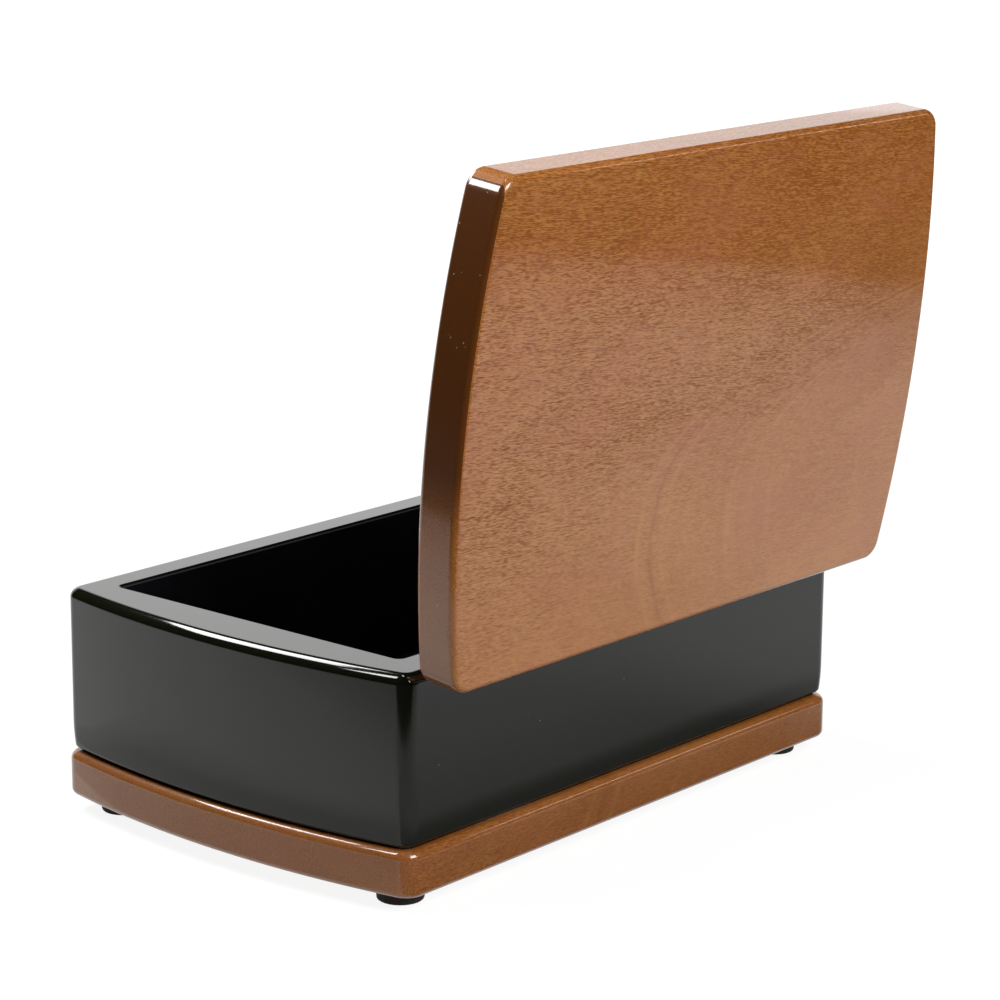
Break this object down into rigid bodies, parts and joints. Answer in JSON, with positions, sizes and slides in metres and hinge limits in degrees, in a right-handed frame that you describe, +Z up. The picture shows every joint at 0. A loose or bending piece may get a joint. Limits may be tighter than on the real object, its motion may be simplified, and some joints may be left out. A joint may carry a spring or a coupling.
{
  "type": "keepsake chest",
  "caption": "Low lacquered box with bowed ends between a brown base board and a matching hinged lid, lined in felt, lid open on its hinge stops.",
  "frame": {"origin": "on the floor under the middle of the whole chest as it stands open", "axes": "+X runs along the chest, -Y is the front, +Y the hinge side, +Z up"},
  "size_m": [0.2796, 0.2252, 0.2739],
  "materials": {
    "black_lacquer": "high gloss black lacquer on wood",
    "brown_wood": "semi gloss clear lacquer over brown stained wood",
    "black_felt": "short black felt",
    "brass": "polished brass",
    "zinc_steel": "zinc plated",
    "foot_rubber": "matt dark brown rubber"
  },
  "bodies": {
    "chest": {"base_board": "brown_wood", "front_wall": "black_lacquer", "back_wall": "black_lacquer", "left_end": "black_lacquer", "right_end": "black_lacquer", "floor_pad": "black_felt", "front_lining": "black_felt", "back_lining": "black_felt", "left_lining": "black_felt", "right_lining": "black_felt", "front_left_foot": "foot_rubber", "front_right_foot": "foot_rubber", "back_left_foot": "foot_rubber", "back_right_foot": "foot_rubber", "front_left_foot_screw": "zinc_steel", "front_right_foot_screw": "zinc_steel", "back_left_foot_screw": "zinc_steel", "back_right_foot_screw": "zinc_steel", "base_screw_1": "zinc_steel", "base_screw_2": "zinc_steel", "base_screw_3": "zinc_steel", "base_screw_4": "zinc_steel", "base_screw_5": "zinc_steel", "base_screw_6": "zinc_steel", "base_screw_7": "zinc_steel", "base_screw_8": "zinc_steel", "left_hinge_body_leaf": "brass", "left_hinge_pin": "brass", "left_hinge_body_screw_1": "brass", "left_hinge_body_screw_2": "brass", "left_hinge_body_screw_3": "brass", "right_hinge_body_leaf": "brass", "right_hinge_pin": "brass", "right_hinge_body_screw_1": "brass", "right_hinge_body_screw_2": "brass", "right_hinge_body_screw_3": "brass"},
    "lid": {"lid_board": "brown_wood", "left_hinge_lid_leaf": "brass", "left_hinge_lid_screw_1": "brass", "left_hinge_lid_screw_2": "brass", "left_hinge_lid_screw_3": "brass", "right_hinge_lid_leaf": "brass", "right_hinge_lid_screw_1": "brass", "right_hinge_lid_screw_2": "brass", "right_hinge_lid_screw_3": "brass"}
  },
  "joints": [
    {"name": "lid_hinge", "type": "hinge", "parent": "chest", "child": "lid", "pos_m": [0, 0.07195, 0.0895], "axis": [1, 0, 0], "range_deg": [0, 96.7]}
  ]
}
